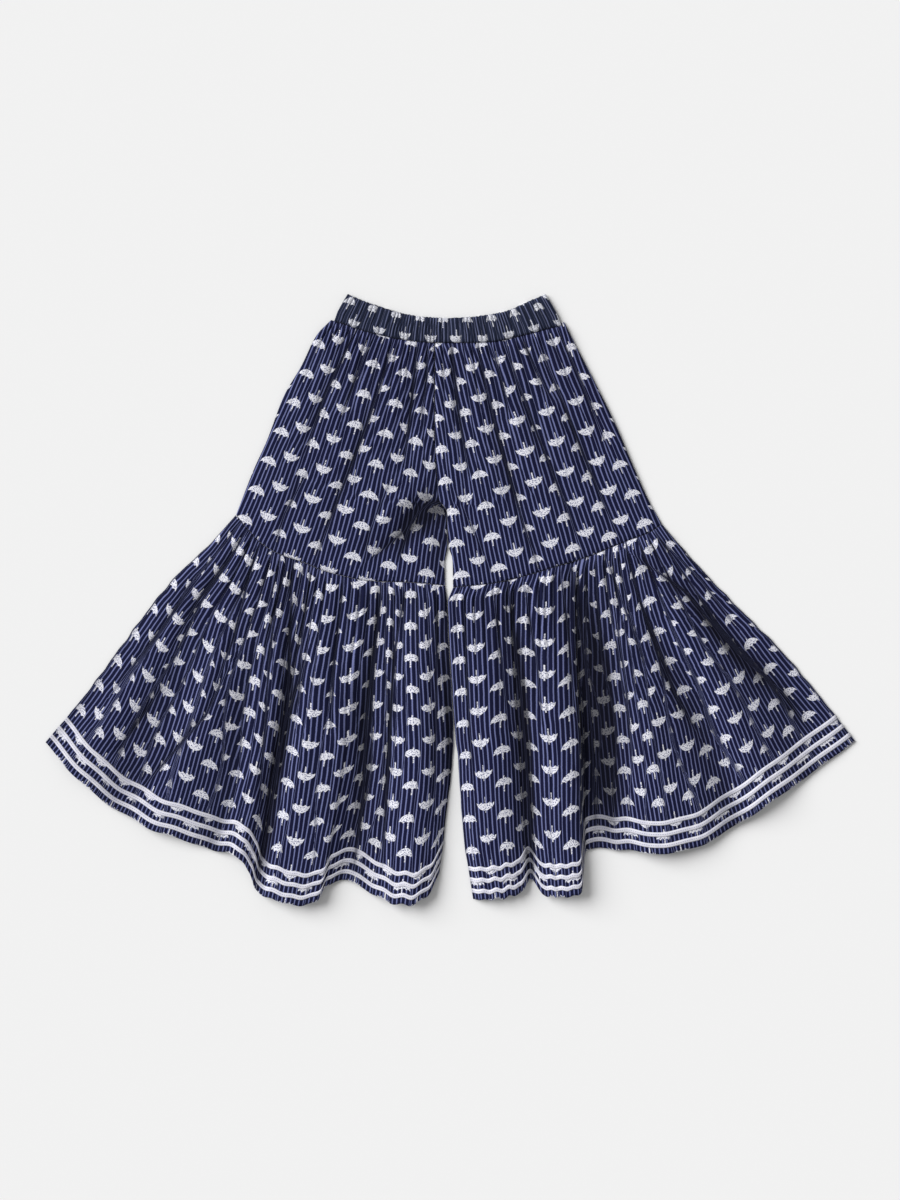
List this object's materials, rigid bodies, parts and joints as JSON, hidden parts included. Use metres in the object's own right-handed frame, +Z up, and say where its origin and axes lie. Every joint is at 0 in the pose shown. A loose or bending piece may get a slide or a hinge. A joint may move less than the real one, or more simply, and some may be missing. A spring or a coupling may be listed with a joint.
{
  "type": "sharara trousers",
  "caption": "Child's flared sharara trousers laid flat, with a ruched elastic waist, gathered knee flounces and taped hems.",
  "frame": {"origin": "centre of the garment's outline, on the surface that it lies on", "axes": "+X from one flounce to the other, to the right as seen from above; +Y from the hems to the waist; +Z up, out of the surface"},
  "size_m": [0.8439, 0.6355, 0.0167],
  "materials": {
    "navy_print": "matte plain-weave cotton, navy with pale pinstripes and small white umbrellas",
    "casing": "matte ruched cotton casing",
    "white_tape": "matte woven cotton tape"
  },
  "bodies": {
    "root": {"waistband_front": "casing", "waistband_back": "navy_print", "leg_front_left": "navy_print", "leg_front_right": "navy_print", "leg_back_left": "navy_print", "leg_back_right": "navy_print", "flounce_front_left": "navy_print", "flounce_front_right": "navy_print", "flounce_back_left": "navy_print", "flounce_back_right": "navy_print", "tape_left_lower": "white_tape", "tape_left_middle": "white_tape", "tape_left_upper": "white_tape", "tape_right_lower": "white_tape", "tape_right_middle": "white_tape", "tape_right_upper": "white_tape"}
  },
  "joints": []
}
